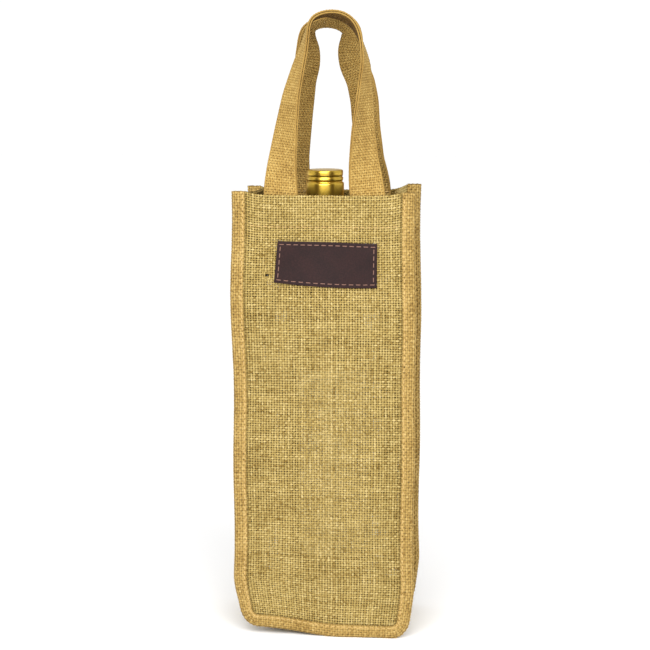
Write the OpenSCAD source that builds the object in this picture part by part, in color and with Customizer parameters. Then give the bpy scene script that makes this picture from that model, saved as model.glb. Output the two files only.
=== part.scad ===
// Wine gift bag: four jute panels and a base with bound seams, two strap handles,
// a leather patch on the front, and the tall wine bottle that it carries.
// Millimetres. +X is the bag's right, -Y its front and +Z up. The origin is the centre of the base.

/* [Bag] */
// Width over the bound side seams
bag_w = 140; // [136:1:170]
// Depth from the front binding to the back binding
bag_d = 88; // [88:1:110]
// Height of the open top
bag_h = 350; // [340:1:360]
// Radius of the bottom corners of the front and the back
corner_r = 15; // [12:1:26]
// Thickness of one layer of jute cloth
cloth_t = 1.2; // [0.8:0.1:1.4]
// Depth of the hem folded in at the top
hem_h = 28; // [20:1:40]

/* [Binding] */
// Width of the tape that closes each seam
seam_w = 10; // [8:1:12]
// Thickness of one layer of the tape
tape_t = 1.1; // [0.8:0.1:1.2]

/* [Handles] */
// Width of the handle strap
strap_w = 27; // [22:1:30]
// Thickness of the doubled strap
strap_t = 3.6; // [2.6:0.2:4]
// Distance from the centre of the bag to the centre of each strap end
leg_x = 33; // [31:1:36]
// Height of the front loop above the bag, to the middle of the strap
loop_h = 130.3; // [120:0.1:140]

/* [Leather patch] */
// Width of the patch
patch_w = 77; // [60:1:90]
// Height of the patch
patch_h = 34; // [25:1:45]
// Height of the middle of the patch above the base
patch_z = 296; // [280:1:300]

/* [Bottle] */
// Diameter of the bottle's body
bottle_dia = 75; // [70:0.5:76]
// Height of the bottle with its cap
bottle_h = 362.5; // [350:0.5:366]
// Diameter of the screw cap
cap_dia = 29.5; // [28:0.1:30.5]

/* [Hidden] */
$fn = 64;
front_y = -bag_d / 2;                   // outer face of the front binding
cloth_y = front_y + tape_t;             // outer face of the front panel
inner_y = cloth_y + cloth_t;            // inner face of the front panel
hem_y = inner_y + cloth_t;              // inner face of the folded hem
body_x = bag_w / 2 - seam_w;            // outer face of a side gusset
flat_y = 37.4;                          // half depth of the base's flat middle
thread_t = 0.5;                         // how far a stitch stands off the cloth
leg_y = hem_y + strap_t / 2;            // middle of a strap end, sewn behind the hem
start_z = bag_h + 0.3;                  // lowest point of a moving loop
seam_side = 2.5;                        // width of the level strip along each bottom seam
stand_z = cloth_t + 0.3;                // the bottle stands on the base cloth
bottle_x = -3;                          // the bottle stands a little left of centre
bottle_r = bottle_dia / 2;
glass_t = 3;
heel = 10;                              // height of the rounding at the bottle's foot
cap_wall = 0.7;
cap_skirt = 60;                         // height of the cap's shell
neck_r = cap_dia / 2 - cap_wall - 0.15; // the neck fills the cap's skirt
mouth_r = neck_r - 1.3;                 // the mouth fits inside the cap's rings
shoulder_z = 212;                       // top of the bottle's straight body
neck_z = bottle_h - 62;                 // bottom of the bottle's straight neck
loop_steps = 18;                        // rings from a strap end to the middle of its loop

// ---- helpers ----

// The outline of the front and the back, seen from the front, drawn in by inset
module outline(inset) {
    r = corner_r - inset;
    w = bag_w - 2 * inset;
    translate([-w / 2, corner_r]) square([w, bag_h - corner_r]);
    translate([r - w / 2, inset]) square([w - 2 * r, corner_r]);
    for (side = [-1, 1]) translate([side * (w / 2 - r), corner_r]) circle(r);
}

// A flat outline stood up facing the front and made solid from y0 back to y1
module upright(y0, y1) {
    translate([0, y1, 0]) rotate([90, 0, 0]) linear_extrude(y1 - y0) children();
}

// The same thing on the back of the bag
module at_back() {
    rotate([0, 0, 180]) children();
}

// A row of dashes along X, lying on a face at y = 0 and standing off it towards -Y
module stitch_row(length, pitch, dash = 3.6) {
    count = floor(length / pitch);
    for (i = [0 : count - 1])
        translate([(i - (count - 1) / 2) * pitch - dash / 2, -thread_t, -0.35])
            cube([dash, thread_t, 0.7]);
}

// ---- cloth ----

module panel() {
    upright(cloth_y, inner_y) outline(tape_t);
    upright(inner_y, hem_y) translate([-body_x + cloth_t, bag_h - hem_h])
        square([2 * (body_x - cloth_t), hem_h]);
}

module front_panel() {
    color("burlywood") panel();
}

module back_panel() {
    color("burlywood") at_back() panel();
}

module gusset() {
    translate([body_x - cloth_t, inner_y, corner_r])
        cube([cloth_t, -2 * inner_y, bag_h - corner_r]);
    translate([body_x - 2 * cloth_t, hem_y, bag_h - hem_h])
        cube([cloth_t, -2 * hem_y, hem_h]);
    for (y = [inner_y, -hem_y]) translate([body_x, y, corner_r])
        cube([seam_w - tape_t, cloth_t, bag_h - corner_r]);
}

module right_gusset() {
    color("tan") gusset();
}

module left_gusset() {
    color("tan") mirror([1, 0, 0]) gusset();
}

// One cross section of the base, a trough whose floor is at floor_z
module trough(floor_z, r, gap, top_z) {
    w = body_x - gap;
    intersection() {
        hull() {
            for (side = [-1, 1]) translate([side * (w - r), floor_z + gap + r]) circle(r, $fn = 32);
            translate([-w, top_z]) square([2 * w, 1]);
        }
        translate([-w, 0]) square([2 * w, top_z]);
    }
}

// The base bulges from the seams, seam_w off the ground, down to the ground in the middle
module base_block(gap, top_z) {
    edge = -inner_y - gap;
    upright(-edge, edge) trough(seam_w, corner_r - seam_w - gap, gap, top_z);
    hull() {
        upright(seam_side - edge, edge - seam_side)
            trough(seam_w, corner_r - seam_w - gap, gap, top_z);
        upright(gap - flat_y, flat_y - gap) trough(0, corner_r - 1 - gap, gap, top_z);
    }
}

module base_panel() {
    color("tan") {
        difference() {
            base_block(0, corner_r);
            base_block(cloth_t, corner_r + 1);
        }
        for (turn = [0, 180]) rotate([0, 0, turn]) upright(inner_y, hem_y) intersection() {
            difference() {
                outline(tape_t);
                outline(seam_w + cloth_t / 2);
            }
            translate([-bag_w / 2, 0]) square([bag_w, corner_r]);
        }
    }
}

// ---- bindings ----

module binding() {
    tape_y = hem_y + tape_t;
    difference() {
        upright(front_y, tape_y) difference() {
            outline(0);
            outline(seam_w);
        }
        upright(cloth_y, hem_y) outline(tape_t);
    }
}

module front_binding() {
    color("goldenrod") binding();
}

module back_binding() {
    color("goldenrod") at_back() binding();
}

// Dashes down one side, round the bottom corner and half way along the bottom, on both sides
module binding_thread() {
    inset = seam_w - 2;
    r = corner_r - inset;
    pitch = 6;
    for (side = [-1, 1]) {
        translate([side * (bag_w / 2 - inset), front_y, (bag_h + corner_r) / 2])
            rotate([0, 90, 0]) stitch_row(bag_h - corner_r, pitch, 4);
        for (angle = [15 : 20 : 75])
            translate([side * (bag_w / 2 - corner_r + r * cos(angle)), front_y,
                corner_r - r * sin(angle)])
                rotate([0, side * (angle - 90), 0]) stitch_row(pitch, pitch, 4);
    }
    translate([0, front_y, inset]) stitch_row(bag_w - 2 * corner_r, pitch, 4);
}

module front_binding_stitching() {
    color("wheat") binding_thread();
}

module back_binding_stitching() {
    color("wheat") at_back() binding_thread();
}

// ---- hems ----

module panel_hem_thread() {
    translate([0, cloth_y, bag_h - hem_h + 3]) stitch_row(2 * body_x - 6, 5);
}

module front_hem_stitching() {
    color("wheat") panel_hem_thread();
}

module back_hem_stitching() {
    color("wheat") at_back() panel_hem_thread();
}

module gusset_hem_stitching() {
    color("wheat") for (turn = [90, -90]) rotate([0, 0, turn])
        translate([0, -body_x, bag_h - hem_h + 3]) stitch_row(bag_d - 16, 5);
}

// ---- leather patch ----

module leather_patch() {
    color("saddlebrown") translate([2.5, cloth_y, patch_z]) rotate([0, 1.2, 0])
        translate([-patch_w / 2, -1.6, -patch_h / 2]) cube([patch_w, 1.6, patch_h]);
}

module patch_stitching() {
    edge = 2.6;
    pitch = 5.4;
    color("rosybrown") translate([2.5, cloth_y - 1.6, patch_z]) rotate([0, 1.2, 0])
        for (side = [-1, 1]) {
            translate([0, 0, side * (patch_h / 2 - edge)]) stitch_row(patch_w - 2 * edge, pitch);
            translate([side * (patch_w / 2 - edge), 0, 0])
                rotate([0, 90, 0]) stitch_row(patch_h - 2 * edge, pitch);
        }
}

// ---- handles ----

module strap_ends() {
    for (side = [-1, 1]) translate([side * leg_x - strap_w / 2, hem_y, bag_h - hem_h])
        cube([strap_w, strap_t, hem_h]);
}

// Two rows of dashes across each strap end, on its inner face
module strap_end_thread() {
    for (side = [-1, 1], z = [4, hem_h - 6])
        translate([side * leg_x, hem_y + strap_t, bag_h - hem_h + z])
            mirror([0, 1, 0]) stitch_row(strap_w - 3, 5);
}

module front_handle_ends() {
    color("goldenrod") strap_ends();
}

module back_handle_ends() {
    color("goldenrod") at_back() strap_ends();
}

module front_handle_stitching() {
    color("wheat") strap_end_thread();
}

module back_handle_stitching() {
    color("wheat") at_back() strap_end_thread();
}

// Half way round a loop: s is 0 at the strap end and 1 at the top of the loop.
// The loop is half of a squared ellipse, drawn in towards its top.
function loop_z(s, rise) = rise * pow(sin(90 * s), 0.83);
function loop_x(s) = s >= 1 ? 0 : leg_x * pow(cos(90 * s), 0.87);
function loop_y(s, rise, lean) = leg_y + (lean - leg_y) * loop_z(s, rise) / rise;
// The strap turns on its own length, from face on to nearly edge on
function loop_turn(s, rise, turn) = turn * (1 - pow(1 - loop_z(s, rise) / rise, 1.4));
function loop_point(s, rise, lean) = [loop_x(s), loop_y(s, rise, lean), bag_h + loop_z(s, rise)];
// Direction towards the inside of the loop, square to the strap
function inward(s, rise) = s <= 0 ? [-1, 0, 0] : s >= 1 ? [0, 0, -1] : let (
    run = -0.87 * leg_x * pow(cos(90 * s), -0.13) * sin(90 * s),
    climb = 0.83 * rise * pow(sin(90 * s), -0.17) * cos(90 * s)
) [-climb, 0, run] / norm([climb, run]);
function cross_axis(s, rise, turn) =
    let (t = loop_turn(s, rise, turn)) inward(s, rise) * cos(t) + [0, -sin(t), 0];
function face_axis(s, rise, turn) =
    let (t = loop_turn(s, rise, turn)) inward(s, rise) * sin(t) + [0, cos(t), 0];
function ring(s, rise, lean, turn) = let (
    p = loop_point(s, rise, lean),
    w = cross_axis(s, rise, turn) * strap_w / 2,
    n = face_axis(s, rise, turn) * strap_t / 2
) [p - w - n, p + w - n, p + w + n, p - w + n];
function flip(p) = [-p[0], p[1], p[2]];

// A whole loop: the right half from its end to the top, then the left half back down
module loop(rise, lean, turn) {
    half = [for (i = [0 : loop_steps]) ring(i / loop_steps, rise, lean, turn)];
    rings = concat(half, [for (i = [loop_steps - 1 : -1 : 0]) [for (p = half[i]) flip(p)]]);
    last = len(rings) - 1;
    points = [for (section = rings, p = section) p];
    walls = [for (i = [0 : last - 1], k = [0 : 3])
        [4 * i + k, 4 * i + (k + 1) % 4, 4 * i + 4 + (k + 1) % 4, 4 * i + 4 + k]];
    ends = [[3, 2, 1, 0], [for (k = [0 : 3]) 4 * last + k]];
    translate([0, 0, start_z - bag_h]) polyhedron(points, concat(walls, ends), convexity = 6);
}

// The front loop leans back to the middle of the bag, its front edge a little higher
module front_handle() {
    color("goldenrod") loop(loop_h, -13.9, 100);
}

// The back loop leans forward to meet it, and hangs lower at its back edge
module back_handle() {
    color("darkgoldenrod") mirror([0, 1, 0]) loop(loop_h - 9, -13.6, 60);
}

// ---- bottle, measured from the face it stands on ----

module on_base() {
    translate([bottle_x, 0, stand_z]) children();
}

// Half section of the bottle's outside, drawn in by inset, up to the height top
function bottle_side(inset, top) = [
    [0, inset], [bottle_r - heel, inset], [bottle_r - 0.3 * heel, 0.3 * heel + inset],
    [bottle_r - inset, heel + inset],
    [bottle_r - inset, shoulder_z],
    for (i = [1 : 8]) let (t = i / 8, ease = t * t * (3 - 2 * t))
        [bottle_r - inset - (bottle_r - neck_r) * ease, shoulder_z + (neck_z - shoulder_z) * t],
    if (top > neck_z + 20) each [[neck_r - inset, bottle_h - 14], [mouth_r - inset, bottle_h - 11]],
    [(top > neck_z + 20 ? mouth_r : neck_r) - inset, top], [0, top]];

module bottle_glass() {
    color("darkolivegreen") on_base() difference() {
        rotate_extrude() polygon(bottle_side(0, bottle_h - 2.6));
        rotate_extrude() polygon(bottle_side(glass_t, bottle_h));
    }
}

module bottle_wine() {
    color("maroon") on_base() rotate_extrude() polygon(bottle_side(glass_t, neck_z + 10));
}

// Two rings above a plain skirt, all one thin shell
module screw_cap() {
    r = cap_dia / 2;
    top = bottle_h;
    color("gold") on_base() rotate_extrude() polygon([
        [0, top], [r - 1.6, top], [r - 0.8, top - 0.8], [r - 0.8, top - 4.6], [r - 1.4, top - 5.2],
        [r - 0.8, top - 5.8], [r - 0.8, top - 8.2], [r - 1.4, top - 8.8], [r - 0.8, top - 9.4],
        [r, top - 10.4], [r, top - cap_skirt],
        [r - cap_wall, top - cap_skirt], [r - cap_wall, top - 10.8],
        [mouth_r + 0.1, top - 9.8], [mouth_r + 0.1, top - 0.8], [0, top - 0.8]]);
}

module cap_liner() {
    color("white") on_base() translate([0, 0, bottle_h - 2.6]) cylinder(h = 1.8, r = mouth_r - 0.6);
}

// A paper label on the bottle's body, from angle a0 to a1 round it
module label(a0, a1, z0, z1) {
    on_base() translate([0, 0, z0]) rotate([0, 0, a0 - 90])
        rotate_extrude(angle = a1 - a0) translate([bottle_r, 0]) square([0.25, z1 - z0]);
}

module front_label() {
    color("ivory") label(-28, 76, 63, 209);
}

module back_label() {
    color("ivory") label(166, 236, 72, 162);
}

front_panel();
back_panel();
left_gusset();
right_gusset();
base_panel();
front_binding();
back_binding();
leather_patch();
patch_stitching();
front_hem_stitching();
back_hem_stitching();
gusset_hem_stitching();
front_binding_stitching();
back_binding_stitching();
front_handle_ends();
back_handle_ends();
front_handle_stitching();
back_handle_stitching();
front_handle();
back_handle();
bottle_glass();
bottle_wine();
screw_cap();
cap_liner();
front_label();
back_label();
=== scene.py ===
"""A jute wine gift bag with bound seams and two strap handles, and the bottle that it carries.

Everything is in metres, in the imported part's own frame: +X right, -Y front, +Z up, base at z = 0.
The cloth, the binding tape and the straps are woven here from separate yarns.
"""

import math

import bmesh
import bpy
import numpy as np
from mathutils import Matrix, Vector


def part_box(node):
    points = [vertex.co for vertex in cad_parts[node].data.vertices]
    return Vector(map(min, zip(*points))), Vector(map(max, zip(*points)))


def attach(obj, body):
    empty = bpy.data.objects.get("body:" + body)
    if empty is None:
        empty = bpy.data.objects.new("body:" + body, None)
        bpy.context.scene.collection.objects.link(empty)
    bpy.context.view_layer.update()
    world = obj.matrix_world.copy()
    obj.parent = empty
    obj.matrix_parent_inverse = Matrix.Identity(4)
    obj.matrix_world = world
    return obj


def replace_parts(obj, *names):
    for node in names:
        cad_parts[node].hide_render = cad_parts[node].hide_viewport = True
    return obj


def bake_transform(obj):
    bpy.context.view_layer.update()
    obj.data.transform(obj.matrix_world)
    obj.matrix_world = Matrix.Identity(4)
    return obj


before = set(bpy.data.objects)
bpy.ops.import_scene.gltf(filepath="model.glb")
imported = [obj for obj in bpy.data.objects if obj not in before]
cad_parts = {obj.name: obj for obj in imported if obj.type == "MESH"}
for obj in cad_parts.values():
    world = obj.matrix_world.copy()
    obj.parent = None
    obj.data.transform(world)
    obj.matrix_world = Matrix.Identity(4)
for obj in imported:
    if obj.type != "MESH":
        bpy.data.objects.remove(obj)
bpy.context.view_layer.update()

MM = 0.001

# ---- sizes, from the frame ----

binding_low, binding_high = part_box("front_binding")
panel_low, panel_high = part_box("front_panel")
gusset_low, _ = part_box("right_gusset")
ends_low, ends_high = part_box("front_handle_ends")
patch_low, patch_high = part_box("leather_patch")
cap_low, cap_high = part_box("screw_cap")
glass_low, glass_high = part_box("bottle_glass")

half_w = binding_high.x
bag_h = binding_high.z
front_y = binding_low.y
binding_t = binding_high.y - binding_low.y
binding_mid = (binding_low.y + binding_high.y) / 2
cloth_t = (panel_high.y - panel_low.y) / 2
corner_r = gusset_low.z
seam_w = 10 * MM
tape_t = 1.1 * MM
allowance = seam_w - tape_t
body_x = half_w - seam_w
gusset_x = body_x - cloth_t / 2
panel_y = panel_low.y + cloth_t / 2
gusset_depth = 2 * abs(panel_y) + cloth_t
gusset_bottom = corner_r - 5 * MM
hem_h = bag_h - ends_low.z
strap_t = ends_high.y - ends_low.y
strap_w = 27 * MM
leg_x = ends_high.x - strap_w / 2
leg_y = (ends_low.y + ends_high.y) / 2


# ---- shader maths ----

class Shade:
    """A shader socket that can be added, multiplied and so on, each time with one Math node."""

    def __init__(self, tree, socket):
        self.tree = tree
        self.socket = socket

    def math(self, operation, *others, clamp=False):
        node = self.tree.nodes.new("ShaderNodeMath")
        node.operation = operation
        node.use_clamp = clamp
        for place, value in zip(node.inputs, (self, *others)):
            join(self.tree, place, value)
        return Shade(self.tree, node.outputs[0])

    def __add__(self, other):
        return self.math("ADD", other)

    def __mul__(self, other):
        return self.math("MULTIPLY", other)

    def __sub__(self, other):
        return self.math("SUBTRACT", other)

    def __rsub__(self, other):
        return (self * -1) + other

    __radd__ = __add__
    __rmul__ = __mul__


def join(tree, socket, value):
    """Puts a number, a colour or a link into a socket."""
    if isinstance(value, Shade):
        tree.links.new(value.socket, socket)
    elif socket.type == "RGBA":
        socket.default_value = (*value, 1.0) if len(value) == 3 else value
    else:
        socket.default_value = value


class Finish:
    """A material whose Principled shader is made first, and whose other nodes come from node()."""

    def __init__(self, name, **constants):
        self.material = bpy.data.materials.new(name)
        self.material.use_nodes = True
        self.tree = self.material.node_tree
        self.shader = self.tree.nodes["Principled BSDF"]
        self.set(**constants)

    def set(self, **values):
        """Fills the shader's sockets, with _ for each space in a socket's name."""
        for name, value in values.items():
            join(self.tree, self.shader.inputs[name.replace("_", " ")], value)

    def node(self, kind, output=0, settings=(), stops=(), **values):
        """Any other node: its settings and colour stops come first, and then its sockets."""
        node = self.tree.nodes.new("ShaderNode" + kind)
        for name, value in dict(settings).items():
            setattr(node, name, value)
        if stops:
            ramp = node.color_ramp
            while len(ramp.elements) < len(stops):
                ramp.elements.new(1.0)
            for element, (position, colour) in zip(ramp.elements, stops):
                element.position = position
                element.color = (*colour, 1.0)
        for name, value in values.items():
            join(self.tree, node.inputs[name.replace("_", " ")], value)
        return Shade(self.tree, node.outputs[output])

    def place(self):
        """Object coordinates, in metres."""
        return self.node("TexCoord", output="Object")

    def noise(self, scale, detail=2.0, roughness=0.5):
        return self.node("TexNoise", Vector=self.place(), Scale=scale, Detail=detail,
                         Roughness=roughness)

    def attribute(self, name):
        return self.node("Attribute", output="Fac", settings={"attribute_name": name})

    def ramp(self, fac, *stops):
        return self.node("ValToRGB", stops=stops, Fac=fac)

    def mix(self, fac, a, b):
        """Colour a where fac is 0 and colour b where it is 1."""
        node = self.tree.nodes.new("ShaderNodeMix")
        node.data_type = "RGBA"
        for socket, value in zip((node.inputs[0], node.inputs[6], node.inputs[7]), (fac, a, b)):
            join(self.tree, socket, value)
        return Shade(self.tree, node.outputs[2])

    def bump(self, height, strength, distance):
        self.set(Normal=self.node("Bump", Height=height, Strength=strength, Distance=distance))
        return self


def colour(red, green, blue):
    """A display colour from 0 to 255, as the linear colour that a shader takes."""
    return tuple(c / 12.92 if c <= 0.04045 else ((c + 0.055) / 1.055) ** 2.4
                 for c in (red / 255, green / 255, blue / 255))


# ---- finishes ----

def jute(name, dark, middle, light):
    """Yarns of raw jute: each has its own shade, with fine fibres along and across it."""
    f = Finish(name, Roughness=0.85, Sheen_Weight=0.05, Sheen_Roughness=0.5,
               Sheen_Tint=(1.0, 0.93, 0.75, 1.0), Specular_IOR_Level=0.12)
    fibre = f.noise(1500, detail=3.0, roughness=0.7)
    patchy = f.noise(45, detail=3.0)
    shade = f.attribute("shade") + (fibre - 0.5) * 0.5 + (patchy - 0.5) * 0.25
    # painted shade: the darkest stop, which the yarns' hidden sides reach, stands in for the shade
    # between the yarns
    gap_painted_shade = tuple(0.3 * c for c in dark)     # between the yarns
    f.set(Base_Color=f.ramp(shade, (0.0, gap_painted_shade), (0.3, dark), (0.55, middle), (0.85, light)))
    return f.bump(fibre, 0.35, 0.0002).material


def thread(name, dark, light):
    """Sewing thread, twisted from finer ones."""
    f = Finish(name, Roughness=0.6, Sheen_Weight=0.2, Specular_IOR_Level=0.3)
    twist = f.noise(2500, detail=1.0)
    f.set(Base_Color=f.mix(twist, dark, light))
    return f.bump(twist, 0.4, 0.0001).material


def patch_leather():
    """Dark brown leather with a fine pebble grain and a cloudy dye."""
    f = Finish("patch_leather", Specular_IOR_Level=0.22)
    grain = f.node("TexVoronoi", Vector=f.place(), Scale=900.0, Randomness=1.0)
    cloudy = f.noise(70, detail=4.0)
    shade = grain * 0.35 + cloudy * 0.65
    f.set(Base_Color=f.ramp(shade, (0.25, colour(25, 9, 9)), (0.75, colour(44, 22, 21))),
          Roughness=cloudy * 0.2 + 0.46)
    return f.bump(grain, 0.35, 0.00025).material


def gold_cap():
    """Gold-lacquered aluminium, lightly scuffed."""
    f = Finish("gold_cap", Metallic=1.0, Specular_IOR_Level=0.5)
    scuff = f.noise(400, detail=2.0)
    f.set(Base_Color=f.mix(scuff, colour(230, 186, 66), colour(246, 210, 94)),
          Roughness=scuff * 0.08 + 0.26)
    return f.bump(scuff, 0.05, 0.0001).material


def dark_glass():
    """Bottle glass, so dark a green that it hides the wine."""
    f = Finish("dark_glass", Coat_Weight=0.1, Coat_Roughness=0.2, Specular_IOR_Level=0.35)
    ripple = f.noise(30, detail=1.0)
    f.set(Base_Color=f.mix(ripple, colour(16, 20, 9), colour(28, 33, 15)),
          Roughness=ripple * 0.05 + 0.26)
    return f.bump(ripple, 0.05, 0.001).material


def wine():
    """Red wine, which only shows if the bottle is taken apart."""
    f = Finish("wine", Roughness=0.1)
    f.set(Base_Color=f.mix(f.noise(20), colour(50, 6, 14), colour(66, 10, 20)))
    return f.material


def label_paper():
    """Cream label paper with short fibres in it."""
    f = Finish("label_paper", Roughness=0.75)
    fibre = f.noise(900, detail=4.0, roughness=0.7)
    f.set(Base_Color=f.mix(fibre, colour(246, 234, 200), colour(254, 246, 218)))
    return f.bump(fibre, 0.1, 0.0001).material


def liner_plastic():
    """The off-white disc that seals the cap."""
    f = Finish("cap_liner_plastic", Roughness=0.5)
    f.set(Base_Color=f.mix(f.noise(500), colour(214, 212, 205), colour(228, 227, 222)))
    return f.material


panel_jute = jute("panel_jute", colour(126, 101, 45), colour(170, 147, 86), colour(202, 180, 121))
tape_jute = jute("tape_jute", colour(123, 94, 43), colour(167, 138, 78), colour(198, 172, 112))
strap_jute = jute("strap_jute", colour(119, 87, 39), colour(169, 137, 73), colour(203, 175, 108))
# painted shade: the same jute painted much darker, for the shade inside the folded tape and between
# the strap's plies
core_jute_painted_shade = jute("core_jute_painted_shade", colour(86, 60, 22), colour(108, 80, 36), colour(128, 98, 48))
seam_thread = thread("seam_thread", colour(182, 148, 88), colour(214, 182, 118))
patch_thread = thread("patch_thread", colour(108, 72, 60), colour(148, 110, 92))
cream_paper = label_paper()


# ---- meshes ----

def finish_mesh(name, bm, material, smooth=True):
    """Turns a bmesh into a finished object at the origin."""
    mesh = bpy.data.meshes.new(name)
    bm.to_mesh(mesh)
    bm.free()
    mesh.polygons.foreach_set("use_smooth", [smooth] * len(mesh.polygons))
    mesh.materials.append(material)
    piece = bpy.data.objects.new(name, mesh)
    bpy.context.scene.collection.objects.link(piece)
    return piece


def spin_copies(bm, step, count, separate):
    """Draws what is in bm out along step, or copies it along step, until there are count of it."""
    whole = bm.verts[:] + bm.edges[:] + bm.faces[:]
    bmesh.ops.spin(bm, geom=whole, cent=(0, 0, 0), axis=(0, 0, 1), dvec=step, angle=0,
                   steps=count - 1, use_duplicate=separate)


def tube_set(sides, rings, count, first):
    """Closed tubes, in a space where x is the side, y the ring and z the number of the tube."""
    bm = bmesh.new()
    section = bmesh.ops.create_circle(bm, cap_ends=True, segments=sides, radius=1.0)
    for number, vertex in enumerate(section["verts"]):
        vertex.co = (number, 0, first)
    spin_copies(bm, (0, 1, 0), rings, separate=False)
    if count > 1:
        spin_copies(bm, (0, 0, 1), count, separate=True)
    return bm


# painted highlight and shade on a yarn's flank, its crown, its other flank and its hidden side: the
# crown is painted lighter, the flanks a little darker and the hidden side much darker, as shade
# falls between the yarns
yarn_painted_shade = np.array([-0.03, 0.03, -0.03, -0.36])


def strands(name, families, material, painted_side_shade=None):
    """Tubes laid along given lines. A family is (points, shade): points[tube, ring, side] are the
    places of the tubes' corners and shade[tube, ring] is how light each yarn is."""
    bm = bmesh.new()
    first = 0
    for points, shade in families:
        part = tube_set(points.shape[2], points.shape[1], points.shape[0], first)
        joined = bpy.data.meshes.new("part")
        part.to_mesh(joined)
        part.free()
        bm.from_mesh(joined)
        bpy.data.meshes.remove(joined)
        first += points.shape[0]
    piece = finish_mesh(name, bm, material)
    mesh = piece.data
    place = np.zeros(len(mesh.vertices) * 3, np.float32)
    mesh.vertices.foreach_get("co", place)
    side, ring, tube = np.rint(place.reshape(-1, 3)).astype(int).T
    shades = np.zeros(len(mesh.vertices), np.float32)
    co = np.zeros((len(mesh.vertices), 3), np.float32)
    first = 0
    for points, shade in families:
        mine = (tube >= first) & (tube < first + points.shape[0])
        co[mine] = points[tube[mine] - first, ring[mine], side[mine]]
        shades[mine] = shade[tube[mine] - first, ring[mine]]
        # painted highlight and painted shade, by which side of the tube a corner is on
        if painted_side_shade is not None:
            shades[mine] += painted_side_shade[side[mine]]
        first += points.shape[0]
    mesh.vertices.foreach_set("co", co.ravel())
    mesh.attributes.new("shade", "FLOAT", "POINT").data.foreach_set("value", shades)
    mesh.update()
    return piece


def unit(vectors):
    """The same directions, each with a length of 1."""
    return vectors / np.linalg.norm(vectors, axis=-1, keepdims=True)


def drift(rng, count, length, step):
    """A slow random wander, about -1 to 1, along each of count yarns with length places."""
    coarse = rng.normal(0, 0.6, (count, length // step + 3))
    at = np.linspace(0, coarse.shape[1] - 1.001, length)
    left = at.astype(int)
    f = at - left
    f = f * f * (3 - 2 * f)
    return coarse[:, left] * (1 - f) + coarse[:, left + 1] * f


def surface_frame(place, u, v):
    """Points of a surface with its two directions and its outward normal."""
    near = 0.3 * MM
    along_u = unit(place(u + near, v) - place(u - near, v))
    along_v = unit(place(u, v + near) - place(u, v - near))
    return place(u, v), along_u, along_v, unit(np.cross(along_u, along_v))


def section(centre, side, up, sides):
    """The corners round each point of a yarn: side and up are its half width and half height."""
    angles = np.arange(sides) * 2 * math.pi / sides
    return np.stack([centre + side * math.cos(a) + up * math.sin(a) for a in angles], axis=-2)


def weave(name, place, across, along, pitch, yarn, material, seed, wander=0.08, crimp=0.44,
          rough=1.0, gap=None):
    """Plain woven cloth. place(u, v) is the point at u across and v along the cloth. Warps run
    along v and wefts along u. pitch is the spacing of (warps, wefts) and yarn is (width as a share
    of the pitch, thickness). wander is how far the yarns stray, in pitches, crimp how far each
    rises and dips, in mm, rough how uneven they are, and gap may push them apart."""
    rng = np.random.default_rng(seed)
    warps, wefts = round(across / pitch[0]), round(along / pitch[1])
    warp, weft = np.meshgrid(np.arange(-1, warps + 1), np.arange(-1, wefts + 1), indexing="ij")
    u = (np.clip(warp, -0.5, warps - 0.5) + 0.5) * across / warps
    v = (np.clip(weft, -0.5, wefts - 0.5) + 0.5) * along / wefts
    u = u + wander * pitch[0] * drift(rng, warps + 2, wefts + 2, 9)
    v = v + wander * pitch[1] * drift(rng, wefts + 2, warps + 2, 9).T
    if gap is not None:
        u, v = gap(u, v)
    centre, along_u, along_v, normal = surface_frame(place, u, v)
    over = np.where((warp + weft) % 2 == 0, 1.0, -1.0)[..., None] * crimp * MM
    families = []
    for turned in (False, True):
        count, length = (wefts, warps + 2) if turned else (warps, wefts + 2)
        # each yarn differs from the next, and swells, thins and changes shade along its length
        uneven = (0.07 * rng.normal(size=(count, 1)) + 0.09 * drift(rng, count, length, 5)
                  + 0.05 * rng.normal(size=(count, length)))
        width = np.clip(1 + rough * uneven, 0.6, 1.4)
        mottled = (0.035 * rng.normal(size=(count, 1)) + 0.09 * drift(rng, count, length, 4)
                   + 0.07 * rng.normal(size=(count, length)))
        shade = 0.5 + rough * mottled
        line = centre - over * normal if turned else centre + over * normal
        rows = (slice(None), slice(1, -1)) if turned else (slice(1, -1), slice(None))
        line, side, up = line[rows], (along_v if turned else -along_u)[rows], normal[rows]
        if turned:
            line, side, up = (a.transpose(1, 0, 2) for a in (line, side, up))
        # 1 where the yarn lies on top, where it is wider and painted lighter as a highlight, and -1
        # where it is hidden, where it is painted darker as shade
        raised = over[..., 0][rows] * (-1 if turned else 1) / (crimp * MM)
        raised = raised.T if turned else raised
        side = side * (width * (1 + 0.2 * raised) * yarn[0] * pitch[turned] / 2)[..., None]
        up = up * (np.sqrt(width) * yarn[1] / 2)[..., None]
        # the shade attribute gets a painted highlight where a yarn is raised and painted shade
        # where it dips under
        families.append((section(line, side, up, len(yarn_painted_shade)), shade + 0.08 * raised))
    return strands(name, families, material, yarn_painted_shade)


def sheet_between(name, place, u, v, material, thickness=0.0):
    """A smooth sheet through the points that place(u, v) gives, on a grid."""
    bm = bmesh.new()
    bmesh.ops.create_grid(bm, x_segments=len(u) - 1, y_segments=len(v) - 1, size=1.0)
    for vertex in bm.verts:
        i = round((vertex.co.x + 1) / 2 * (len(u) - 1))
        k = round((vertex.co.y + 1) / 2 * (len(v) - 1))
        vertex.co = place(np.array([u[i]]), np.array([v[k]]))[0]
    piece = finish_mesh(name, bm, material)
    if thickness:
        solid = piece.modifiers.new("thickness", "SOLIDIFY")
        solid.thickness = thickness
        solid.offset = 0
    return piece


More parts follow.
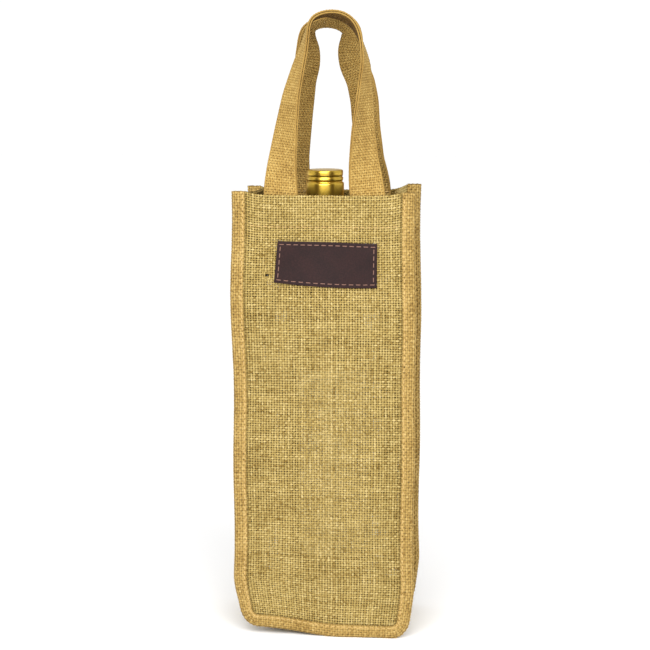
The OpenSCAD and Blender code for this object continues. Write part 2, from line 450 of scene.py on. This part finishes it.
def stitches(name, place, u, v, length, width, material, along_v=False):
    """Dashes of thread on a surface at the places u, v, each dipping into the cloth at its ends."""
    centre, du, dv, normal = surface_frame(place, u, v)
    run, cross = (dv, -du) if along_v else (du, dv)
    steps = np.array([-0.5, -0.42, -0.2, 0.2, 0.42, 0.5]) * length
    heights = np.array([-0.9, -0.1, 1, 1, -0.1, -0.9]) * 0.25 * width
    line = (centre[:, None] + run[:, None] * steps[None, :, None]
            + normal[:, None] * heights[None, :, None])
    side = np.repeat(cross[:, None], len(steps), 1) * width / 2
    up = np.repeat(normal[:, None], len(steps), 1) * width / 2
    shade = np.full(line.shape[:2], 0.5)
    return strands(name, [(section(line, side, up, 6), shade)], material)


# ---- the bag's slump ----

def bell(x, centre, width):
    """A smooth hump, 1 at its centre."""
    return np.exp(-((x - centre) / width) ** 2)


def ease(x):
    """0 below 0 and 1 above 1, with a smooth rise between them."""
    x = np.clip(x, 0, 1)
    return x * x * (3 - 2 * x)


def slump(x, y, z):
    """How soft cloth settles: every point of the bag moves a little, in metres."""
    low = ease((0.12 - z) / 0.12)
    foot = ease((0.046 - z) / 0.040)
    high = ease((z - 0.20) / 0.15)
    side = np.clip(x / half_w, -1.1, 1.1)       # -1 at the left edge, 1 at the right
    depth = np.clip(y / front_y, -1.1, 1.1)     # 1 at the front, -1 at the back
    front = ease(depth * 2)
    # the side edges spread near the ground, pull in at the foot and waver a little all the way up
    out_x = side * (1.2 * MM * low - (4.4 + 2 * ease(-side)) * MM * foot
                    + 0.5 * MM * np.sin(z * 52 + 0.8))
    out_x = (out_x - 1.5 * MM * bell(z, 0.280, 0.045) * ease(-side)
             + 0.7 * MM * bell(z, 0.2, 0.06) * ease(side))
    # the side gussets draw in half way between the front and the back
    out_x = out_x - np.sign(x) * ease(abs(side) * 1.15) * (1 - depth ** 2) * (2.5 + 3.5 * high) * MM
    # the panels bulge over the bottle and draw in round its neck
    middle = np.clip(1 - (x / body_x) ** 2, 0, 1)
    swell = middle * (1.0 * bell(z, 0.12, 0.11) - 1.2 * bell(z, 0.27, 0.06)) * MM
    wave = middle * 0.5 * MM * (np.sin(x * 95 + z * 31 + 1.0) + np.sin(x * 41 - z * 66))
    out_y = np.sign(y) * ease(abs(depth) * 1.1) * (swell + wave)
    # the rim hangs between the bindings, the left back corner sinks and the left foot is lifted
    flat_rim = np.clip(1 - abs(x / body_x) ** 8, 0, 1)
    dip = (2.6 + 2.4 * ease(-depth)) * MM * flat_rim * abs(depth) + 1.5 * MM * (1 - depth ** 2)
    out_z = -high * bell(z, bag_h, 0.05) * dip
    out_z = out_z - 2.6 * MM * bell(z, bag_h, 0.03) * ease(-depth * 1.5) * ease((-0.045 - x) / 0.02)
    out_z = out_z + 6.5 * MM * low ** 2 * front * ease((0.02 - x) / 0.08)
    return out_x, out_y, out_z


def settled(x, y, z):
    """Where a point of the bag is once its cloth has slumped."""
    dx, dy, dz = slump(x, y, z)
    return np.stack([x + dx, y + dy, z + dz], axis=-1)


# ---- cloth pieces ----

def facing(sign):
    """Places the points of a front piece there, or for -1 turns them round to the back."""
    def turn(x, y, z):
        return settled(sign * x, sign * y, z)
    return turn


tuck = 1.5 * MM                     # how far cloth runs in under the binding
hem_drop = 0.6 * MM                 # how far the folded hem's edge lies below the rim
cloth_pitch = (2.08 * MM, 1.88 * MM)
cloth_yarn = (0.68, 0.8 * MM)       # round open yarns
close_yarn = (0.84, 0.56 * MM)      # the same cloth, pressed flatter
cloth_w = 2 * (body_x + tuck)
cloth_bottom = seam_w - tuck
cloth_h = bag_h - cloth_bottom


def panel(side, sign, seed):
    """A front or back panel, and the hem that is folded in behind its top."""
    turn = facing(sign)

    def outer(u, v):
        return turn(u - cloth_w / 2, np.full_like(u, panel_y), cloth_bottom + v)

    def hem(u, v):
        return turn(u - cloth_w / 2 + hem_inset, np.full_like(u, panel_y + cloth_t),
                    bag_h - hem_drop - hem_h + v)

    def worn(u, v):
        """A small hole in the front panel, where two yarns have been pushed apart."""
        hole_u, hole_v = body_x + tuck - 43.2 * MM, 286 * MM - cloth_bottom
        near = 1.3 * MM * bell(u, hole_u, 3 * MM) * bell(v, hole_v, 2.4 * MM)
        return u + near * np.sign(u - hole_u), v + 0.7 * near * np.sign(v - hole_v)

    hem_inset = 3 * MM
    yarn, gap = (cloth_yarn, worn) if sign > 0 else (close_yarn, None)
    cloth = weave(side + "_panel_cloth", outer, cloth_w, cloth_h, cloth_pitch, yarn, panel_jute,
                  seed, gap=gap)
    fold = weave(side + "_panel_hem", hem, cloth_w - 2 * hem_inset, hem_h, cloth_pitch, cloth_yarn,
                 panel_jute, seed + 1)
    for piece in (cloth, fold):
        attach(piece, "bag")
    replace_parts(cloth, side + "_panel")
    return outer


def gusset(side, sign, seed):
    """A side gusset, and its folded hem."""
    depth = gusset_depth
    hem_inset = 1.5 * MM

    def outer(u, v):
        return settled(np.full_like(u, sign * gusset_x), sign * (u - depth / 2), gusset_bottom + v)

    def hem(u, v):
        return settled(np.full_like(u, sign * (gusset_x - cloth_t)),
                       sign * (u - depth / 2 + hem_inset), bag_h - hem_drop - hem_h + v)

    cloth = weave(side + "_gusset_cloth", outer, depth, bag_h - gusset_bottom, cloth_pitch,
                  close_yarn, panel_jute, seed)
    fold = weave(side + "_gusset_hem", hem, depth - 2 * hem_inset, hem_h, cloth_pitch, cloth_yarn,
                 panel_jute, seed + 1)
    for piece in (cloth, fold):
        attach(piece, "bag")
    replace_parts(cloth, side + "_gusset")
    depth + 2 * allowance
    return outer


def trough_point(s, floor_z, radius, half):
    """A place on the base's cross section, a share s of the way from the top of its left side,
    across the floor, to the top of its right side: x, z and the whole length."""
    top = corner_r + 4 * MM
    upright = top - floor_z - radius
    arc = radius * math.pi / 2
    flat = 2 * (half - radius)
    lengths = np.cumsum([upright, arc, flat, arc])
    total = lengths[-1] + upright
    d = s * total
    stretches = [d < length for length in lengths]
    x = np.select(stretches,
                  [np.full_like(d, -half),
                   -half + radius - radius * np.cos((d - lengths[0]) / radius),
                   -half + radius + d - lengths[1],
                   half - radius + radius * np.sin((d - lengths[2]) / radius)], half)
    z = np.select(stretches,
                  [top - d, floor_z + radius - radius * np.sin((d - lengths[0]) / radius),
                   np.full_like(d, floor_z),
                   floor_z + radius - radius * np.cos((d - lengths[2]) / radius)], top - total + d)
    return x, z, total


def base():
    """The base, which sags to the ground between the bottom seams."""
    depth = gusset_depth
    half = body_x + 0.2 * MM
    # the height of its floor, the radius of its bends and its half width, in the middle and at
    # the bottom seams
    sagged = (0.9 * MM, corner_r - MM, half)
    seamed = (seam_w, corner_r - seam_w, half)
    length = trough_point(np.array([0.0]), *sagged)[2]

    def place(u, v):
        low_x, low_z, _ = trough_point(v / length, *sagged)
        high_x, high_z, _ = trough_point(v / length, *seamed)
        y = u - depth / 2
        lift = ease((abs(y) - 33 * MM) / (7 * MM))
        return settled(low_x + (high_x - low_x) * lift, y, low_z + (high_z - low_z) * lift)

    cloth = weave("base_cloth", place, depth, length, cloth_pitch, cloth_yarn, panel_jute, 41)
    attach(cloth, "bag")
    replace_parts(cloth, "base_panel")
    depth + 2 * allowance


# ---- binding ----

straight = bag_h - corner_r
bend_length = (corner_r - seam_w / 2) * math.pi / 2
floor_length = 2 * (half_w - corner_r)
seam_length = 2 * (straight + bend_length) + floor_length
half_t = binding_t / 2
tape_flat = seam_w - half_t                     # each flat side of the folded tape
tape_w = 2 * tape_flat + math.pi * half_t
tape_pitch = (1.95 * MM, 2.15 * MM)
tape_yarn = (1.0, 0.85 * MM)


def seam_point(s):
    """Down the left seam, round under the bag and up the right one: the corners' centre line and
    the direction out of the bag."""
    turn = np.clip((s - straight) / bend_length, 0, 1) + np.clip(
        (s - straight - bend_length - floor_length) / bend_length, 0, 1)
    angle = math.pi + turn * math.pi / 2
    x = -(half_w - corner_r) + np.clip(s - straight - bend_length, 0, floor_length)
    z = corner_r + np.clip(straight - s, 0, None) + np.clip(s - (seam_length - straight), 0, None)
    return x, z, np.cos(angle), np.sin(angle)


def tape_place(sign, inset=0.0):
    """The folded tape's surface, or one that lies inset within it: u runs across it, round the
    bag's edge, and v along the seam."""
    turn = facing(sign)

    def place(u, v):
        x, z, out_x, out_z = seam_point(v)
        fold = np.clip((u - tape_flat) / (math.pi * half_t), 0, 1) * math.pi
        before = np.clip(tape_flat - u, 0, None)
        after = np.clip(u - tape_flat - math.pi * half_t, 0, None)
        reach = corner_r - half_t - before - after + (half_t - inset) * np.sin(fold)
        # the stitching pulls the tape thin near its inner edges
        edge = np.minimum(u, tape_w - u)
        thick = (half_t - inset) * (1 - 0.2 * bell(edge, 1.6 * MM, 1.6 * MM))
        ripple = 0.22 * MM * np.sin(v * 260) * ease(edge / (3 * MM))
        y = binding_mid - (thick + ripple) * np.cos(fold)
        return turn(x + out_x * reach, y, z + out_z * reach)

    return place


def binding(side, sign, seed):
    """A woven tape folded over the seam, a layer just under its yarns in jute painted darker as
    shade, and the thread that closes it near its inner edge."""
    tape = weave(side + "_binding_tape", tape_place(sign), tape_w, seam_length, tape_pitch,
                 tape_yarn, tape_jute, seed, wander=0.12, crimp=0.34, rough=0.7)
    inner = tape_place(sign, inset=0.35 * MM)
    core = sheet_between(side + "_binding_fold", inner,
                         np.linspace(0.2 * MM, tape_w - 0.2 * MM, 15),
                         np.linspace(0.5 * MM, seam_length - 0.5 * MM, 200), core_jute_painted_shade)
    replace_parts(tape, side + "_binding")
    place = tape_place(sign, inset=-0.25 * MM)
    dashes = np.arange(4 * MM, seam_length - 3 * MM, 4.6 * MM)
    row = stitches(side + "_binding_dashes", place, np.full_like(dashes, 1.7 * MM), dashes,
                   3.3 * MM, 0.75 * MM, seam_thread, along_v=True)
    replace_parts(row, side + "_binding_stitching")
    for piece, slot in ((tape, "jute_tape"), (core, "jute_tape"), (row, "seam_thread")):
        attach(piece, "bag")


# ---- straps ----

selvage_w = 0.7 * MM
ply_lift = 0.95 * MM                # how far the middle of each ply is from the strap's middle
strap_pitch = (1.5 * MM, 1.95 * MM)
strap_yarn = (1.0, 0.9 * MM)

# Half a strap, from its sewn end to its top: how far it is from the middle and above the bag in mm,
# how many degrees it has turned, and how far it sways to the right in mm
front_stations = [
    (33, -28, 0, 0), (33, -6, 0, 0), (32.6, 2, 14, -0.4), (31, 24, 38, -0.8), (29.3, 48, 53, -0.4),
    (28, 71, 64, 1.6), (25.4, 95, 75, 4.8), (22.8, 106, 82, 5.4), (20.8, 114, 87, 5.2),
    (18.6, 121.5, 91, 4.4), (15.6, 127.6, 94, 2.8), (10, 131.8, 96, 1.6), (0, 133.4, 97, 1.2)]
back_stations = [
    (33, -28, 0, 0), (33, -6, 0, 0), (32.4, 3, 16, -0.4), (29.8, 20, 40, -0.6), (27, 45, 41, -0.2),
    (25.6, 66, 39, 0.2), (23, 82, 40, -0.6), (17.6, 95, 44, -1.6), (16.4, 106, 48, -1.8),
    (17.8, 115.4, 60, -1.4), (16.6, 123.4, 68, -1.2), (8, 127.2, 72, -0.4), (0, 127.9, 73, 0.2)]


def strap_line(stations, lean, side):
    """Points all along a strap from one sewn end to the other, with its width and face directions.
    side is -1 for the strap at the front and 1 for the one at the back. lean is how far back the
    strap's top is."""
    x, z, turn, sway = np.array(stations, float).T
    run = np.concatenate([[0.0], np.cumsum(np.hypot(np.diff(x), np.diff(z)))])
    even = np.linspace(0, run[-1], 400)
    x, z, turn, sway = (np.interp(even, run, a) for a in (x, z, turn, sway))
    reach = 20          # how many points on each side a point is smoothed with
    weights = np.hanning(2 * reach + 1)

    def both(values, mirror):
        """The whole strap from half of it, smoothed."""
        whole = np.concatenate([mirror * values, values[-2::-1]])
        padded = np.concatenate([np.full(reach, whole[0]), whole, np.full(reach, whole[-1])])
        return np.convolve(padded, weights / weights.sum(), "valid")

    path_x, path_z = both(x, -1), both(z, 1)
    # one leg of each strap turns a little more than the other
    leg = np.sign(path_x) * np.clip(abs(path_x) / 15, 0, 1)
    turn = np.radians(both(turn, 1) * (1 + leg * (0.1 if side < 0 else -0.16)))
    y = -leg_y * side
    y = y + (lean - y) * np.clip(path_z / stations[-1][1], 0, 1)
    along = unit(np.stack([np.gradient(path_x), np.gradient(path_z)], axis=-1))
    inward = np.stack([along[:, 1], 0 * turn, -along[:, 0]], axis=-1)
    depth = np.array([0.0, 1.0, 0.0])
    cos, sin = np.cos(turn)[:, None], np.sin(turn)[:, None]
    width = inward * cos + depth * sin * side
    face = inward * sin - depth * cos * side
    points = np.stack([(path_x + both(sway, 1)) * MM, y, bag_h + path_z * MM], axis=-1)
    return points, width, face


def strap(side, sign, stations, lean, seed):
    """One strap: two plies of webbing over a core of jute painted darker as shade, with both ends
    sewn behind the hem.
    """
    points, width, face = strap_line(stations, lean, sign)
    gaps = np.linalg.norm(np.diff(points, axis=0), axis=1)
    run = np.concatenate([[0.0], np.cumsum(gaps)])
    length = run[-1]

    def ply(offset, inset=0.0):
        """A surface that lies offset from the strap's middle. Its u starts inset from the edge."""
        def place(u, v):
            along = [np.stack([np.interp(v, run, a[:, k]) for k in range(3)], axis=-1)
                     for a in (points, width, face)]
            from_middle = u + inset - strap_w / 2
            # the plies are sewn together along their edges, and the edges waver
            edge = ease((abs(from_middle / (strap_w / 2)) - 0.72) / 0.28)
            lift = offset * (1 - 0.14 * edge)
            sway = 0.35 * MM * np.sin(v * 88 + seed)
            return (along[0] + along[1] * (from_middle + sway)[..., None]
                    + along[2] * lift[..., None])
        return place

    ribbons = []
    rings = np.linspace(0.3 * MM, length - 0.3 * MM, 260)
    for number, offset in enumerate((-ply_lift, ply_lift)):
        ribbons.append(weave(side + "_strap_ply_" + str(number + 1), ply(offset, selvage_w),
                             strap_w - 2 * selvage_w, length, strap_pitch, strap_yarn, strap_jute,
                             seed + number, wander=0.06, crimp=0.32, rough=0.6))
        # the selvage is a thick yarn along each edge
        edges = []
        for u in (0.75 * MM, strap_w - 0.75 * MM):
            centre, across, _, out = surface_frame(ply(offset * 0.92), np.full_like(rings, u),
                                                   rings)
            twist = 1 + 0.08 * np.sin(rings * 2 * math.pi / (2.3 * MM))[:, None]
            edges.append(section(centre, -across * twist * 0.66 * MM, out * twist * 0.62 * MM, 6))
        edges = np.stack(edges)
        ribbons.append(strands(side + "_strap_selvage_" + str(number + 1),
                               [(edges, np.full(edges.shape[:2], 0.46))], strap_jute))
    core = sheet_between(side + "_strap_core", ply(0),
                         np.linspace(0.9 * MM, strap_w - 0.9 * MM, 9),
                         np.linspace(0.5 * MM, length - 0.5 * MM, 160), core_jute_painted_shade,
                         thickness=1.6 * MM)
    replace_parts(ribbons[0], side + "_handle", side + "_handle_ends")
    for piece in (*ribbons, core):
        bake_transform(piece)

    def inner_face(u, v):
        return np.stack([u, 0 * u - sign * (leg_y + strap_t / 2 + 0.3 * MM), v], axis=-1)

    across = np.arange(-10, 11, 5) * MM
    rows = [(end * leg_x + dx, bag_h - hem_h + up) for end in (-1, 1) for dx in across
            for up in (4 * MM, 22 * MM)]
    u, v = np.array(rows).T
    row = stitches(side + "_handle_dashes", inner_face, u, v, 3.4 * MM, 0.7 * MM, seam_thread)
    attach(row, "bag")
    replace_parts(row, side + "_handle_stitching")


# ---- patch and hem stitches ----

def leather_patch():
    """The leather rectangle on the front and the thread round it."""
    centre = Vector(((patch_low.x + patch_high.x) / 2, 0, (patch_low.z + patch_high.z) / 2))
    w, h, tilt = 77 * MM, 34 * MM, math.radians(1.2)

    def on_cloth(out):
        """A surface that lies out from the front panel, with the patch's own slant and outline."""
        def place(u, v):
            across, up = u / (w / 2), v / (h / 2)
            # it was cut a little out of square, and its lower edge bows down
            bowed = v - 1.6 * MM * ease(-up) * (1 - across ** 2) - 0.8 * MM * ease(-up) * across
            leaning = u + 0.9 * MM * ease(-across) * up
            x = centre.x + leaning * math.cos(tilt) + bowed * math.sin(tilt)
            z = centre.z - leaning * math.sin(tilt) + bowed * math.cos(tilt)
            # the upper corners lift a little off the cloth
            curl = 0.5 * MM * ease(abs(across)) * ease(up + 0.3)
            return settled(x, np.full_like(x, front_y + 0.1 * MM - out) - curl, z)
        return place

    slab = sheet_between("leather_patch_slab", on_cloth(-0.35 * MM), np.linspace(-w / 2, w / 2, 49),
                         np.linspace(-h / 2, h / 2, 23), patch_leather(), thickness=1.5 * MM)
    edge = slab.modifiers.new("edge", "BEVEL")
    edge.width = 0.35 * MM
    edge.segments = 3
    edge.limit_method = "ANGLE"
    inset, pitch = 2.6 * MM, 5.4 * MM
    long_row = (np.arange(14) - 6.5) * pitch
    short_row = (np.arange(5) - 2) * pitch
    place = on_cloth(0.42 * MM)
    rows = [(long_row, s * (h / 2 - inset) + 0 * long_row, False) for s in (-1, 1)]
    rows += [(s * (w / 2 - inset) + 0 * short_row, short_row, True) for s in (-1, 1)]
    for number, (u, v, upright) in enumerate(rows):
        row = stitches("patch_dashes_" + str(number + 1), place, u, v, 3.4 * MM, 0.62 * MM,
                       patch_thread, along_v=upright)
        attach(row, "bag")
        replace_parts(row, "patch_stitching")
    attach(slab, "bag")
    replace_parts(slab, "leather_patch")


def hem_stitches(side, place, width, height):
    """A row of thread across a panel or gusset, which holds its hem."""
    pitch = 5 * MM
    count = int((width - 8 * MM) / pitch)
    u = (np.arange(count) - (count - 1) / 2) * pitch + width / 2
    v = np.full_like(u, height)

    def raised(u, v):
        centre, _, _, normal = surface_frame(place, u, v)
        return centre + normal * 0.55 * MM

    row = stitches(side + "_hem_dashes", raised, u, v, 3.3 * MM, 0.55 * MM, seam_thread)
    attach(row, "bag")
    return row


# ---- bottle ----

def lathe(name, profile, material, start=0.0, sweep=2 * math.pi, steps=96):
    """Spins a half section, given as (radius, height) in mm, round the bottle's axis."""
    axis = Vector(((cap_low.x + cap_high.x) / 2, (cap_low.y + cap_high.y) / 2, glass_low.z))
    bm = bmesh.new()
    spots = [bm.verts.new(axis + Vector((r * math.cos(start), r * math.sin(start), z)) * MM)
             for r, z in profile]
    edges = [bm.edges.new(pair) for pair in zip(spots, spots[1:])]
    bmesh.ops.spin(bm, geom=spots + edges, cent=axis, axis=(0, 0, 1), angle=sweep, steps=steps,
                   use_merge=sweep > 6.28)
    bmesh.ops.remove_doubles(bm, verts=bm.verts, dist=0.00001)
    bmesh.ops.recalc_face_normals(bm, faces=bm.faces)
    return finish_mesh(name, bm, material)


def bottle():
    """The bottle, its wine, its cap and liner, and its two blank labels. Sizes here are in mm."""
    body_r = (glass_high.x - glass_low.x) / 2 / MM
    r = (cap_high.x - cap_low.x) / 2 / MM
    top = (cap_high.z - glass_low.z) / MM
    neck_r = r - 0.85
    mouth_r = neck_r - 1.3
    wall = 3
    wine_r = wall + 0.3         # the wine keeps a hair's breadth from the glass
    shoulder = [(body_r - (body_r - neck_r) * t * t * (3 - 2 * t), 212 + 88.5 * t)
                for t in np.linspace(0, 1, 25)]
    outside = [(0, 7), (14, 5), (24, 1.2), (26.5, 0), (30, 0.4), (34, 2.6), (36.6, 6.4),
               (body_r, 10.5), *shoulder, (neck_r, top - 14), (mouth_r, top - 11),
               (mouth_r, top - 2.6)]
    inside = [(mouth_r - 2.5, top - 2.6), (mouth_r - 2.5, top - 14),
              *[(radius - wall, z) for radius, z in shoulder[::-1]],
              (body_r - wall, 12), (30, 5), (14, 9), (0, 10)]
    glass = lathe("bottle_body", outside + inside, dark_glass())
    fill = lathe("wine_fill", [(0, 10.4), (14, 9.4), (30, 5.6), (body_r - wine_r, 12.4),
                               *[(radius - wine_r, z) for radius, z in shoulder],
                               (0, shoulder[-1][1] + 0.2)], wine())
    # two grooves round the cap's head, then its long plain skirt and the thin wall inside
    cap = lathe("gold_screw_cap", [
        (0, top - 0.15), (r - 3.5, top), (r - 1.9, top), (r - 1.1, top - 0.3), (r - 0.8, top - 1.0),
        (r - 0.8, top - 4.4), (r - 1.0, top - 4.8), (r - 1.5, top - 5.2), (r - 1.0, top - 5.7),
        (r - 0.7, top - 6.1), (r - 0.7, top - 8.2), (r - 1.0, top - 8.6), (r - 1.5, top - 9.0),
        (r - 1.0, top - 9.5), (r - 0.4, top - 9.9), (r - 0.05, top - 10.6), (r, top - 11.5),
        (r, top - 59.6), (r - 0.3, top - 60), (r - 0.7, top - 59.6), (r - 0.7, top - 11.2),
        (mouth_r + 0.1, top - 9.8), (mouth_r + 0.1, top - 0.9), (0, top - 0.9)],
        gold_cap(), steps=128)
    liner = lathe("cap_liner_disc", [(0, top - 2.6), (mouth_r - 0.6, top - 2.6),
                                     (mouth_r - 0.6, top - 0.9), (0, top - 0.9)], liner_plastic())
    made = [(glass, "bottle_glass", "bottle_glass"), (fill, "bottle_wine", "wine"),
            (cap, "screw_cap", "cap_metal"), (liner, "cap_liner", "liner")]
    # each label's start and sweep round the bottle in degrees, and its lower and upper edge
    for side, start, sweep, low, high in (("front", -118, 104, 63, 209), ("back", 76, 70, 72, 162)):
        # the paper's edge is rounded over
        ring = [(body_r + 0.02, low), (body_r + 0.22, low + 0.3), (body_r + 0.22, high - 0.3),
                (body_r + 0.02, high)]
        label = lathe(side + "_label_paper", ring, cream_paper, math.radians(start),
                      math.radians(sweep), steps=48)
        made.append((label, side + "_label", "label_paper"))
    for piece, node, slot in made:
        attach(piece, "bottle")
        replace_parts(piece, node)


# ---- build ----

front_place = panel("front", 1, 11)
back_place = panel("back", -1, 15)
right_place = gusset("right", 1, 21)
left_place = gusset("left", -1, 25)
base()
binding("front", 1, 31)
binding("back", -1, 35)
strap("front", -1, front_stations, -16.8 * MM, 51)
strap("back", 1, back_stations, 16.6 * MM, 61)
leather_patch()
hem_up = hem_h - 3 * MM
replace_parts(hem_stitches("front", front_place, cloth_w, cloth_h - hem_up), "front_hem_stitching")
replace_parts(hem_stitches("back", back_place, cloth_w, cloth_h - hem_up), "back_hem_stitching")
gusset_h = bag_h - gusset_bottom
for side, place in (("right", right_place), ("left", left_place)):
    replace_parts(hem_stitches(side + "_gusset", place, gusset_depth, gusset_h - hem_up),
                "gusset_hem_stitching")
bottle()


# ---- studio ----

def floor():
    """A plain pale floor."""
    bm = bmesh.new()
    bmesh.ops.create_grid(bm, x_segments=1, y_segments=1, size=6.0)
    f = Finish("studio_floor", Roughness=0.9)
    f.set(Base_Color=f.mix(f.noise(2), (0.97, 0.97, 0.97), (0.98, 0.98, 0.98)))
    ground = finish_mesh("studio_floor", bm, f.material, smooth=False)


def daylight(name, place, strength, spread):
    """A soft light from far away, from the direction of place."""
    lamp = bpy.data.lights.new(name, "SUN")
    lamp.energy = strength
    lamp.angle = math.radians(spread)
    holder = bpy.data.objects.new(name, lamp)
    holder.location = place
    holder.rotation_euler = Vector(place).to_track_quat("Z", "Y").to_euler()
    bpy.context.scene.collection.objects.link(holder)


def softbox(name, place, aim, size, power):
    """A large square lamp at place, turned towards aim."""
    lamp = bpy.data.lights.new(name, "AREA")
    lamp.shape = "RECTANGLE"
    lamp.size, lamp.size_y = size
    lamp.energy = power
    holder = bpy.data.objects.new(name, lamp)
    holder.location = place
    holder.rotation_euler = (Vector(aim) - Vector(place)).to_track_quat("-Z", "Y").to_euler()
    bpy.context.scene.collection.objects.link(holder)


def surround(key):
    """A white backdrop, which is brighter towards key, as a very large soft lamp there would be."""
    world = bpy.data.worlds.new("studio")
    world.use_nodes = True
    tree = world.node_tree
    seen = Shade(tree, tree.nodes.new("ShaderNodeLightPath").outputs["Is Camera Ray"])
    towards = tree.nodes.new("ShaderNodeVectorMath")
    towards.operation = "DOT_PRODUCT"
    tree.links.new(tree.nodes.new("ShaderNodeTexCoord").outputs["Generated"], towards.inputs[0])
    towards.inputs[1].default_value = Vector(key).normalized()
    glow = (Shade(tree, towards.outputs["Value"]) - 0.2).math("MULTIPLY", 1.25, clamp=True)
    sky = tree.nodes["Background"]
    sky.inputs["Color"].default_value = (1, 1, 1, 1)
    join(tree, sky.inputs["Strength"], (glow * 0.85 + 0.6) * (1 - seen) + seen * 1.05)
    bpy.context.scene.world = world


def camera():
    """A long lens in front of the bag and a little to its right, which looks slightly down."""
    lens = bpy.data.cameras.new("camera")
    lens.sensor_width = 36
    lens.lens = 96.13
    lens.clip_end = 50
    holder = bpy.data.objects.new("camera", lens)
    holder.location = (0.1321, -1.3476, 0.4589)
    holder.rotation_euler = (math.radians(90 - 9.13), 0, math.radians(5.73))
    bpy.context.scene.collection.objects.link(holder)
    bpy.context.scene.camera = holder


floor()
daylight("key", (0.55, -0.9, 0.95), 0.8, 25)
softbox("softbox", (-0.1, -1.05, 0.95), (0, 0, 0.34), (0.8, 0.8), 11.5)
surround((0, -0.85, 0.5))
bpy.context.scene.view_settings.view_transform = "Standard"
camera()

bpy.context.view_layer.update()
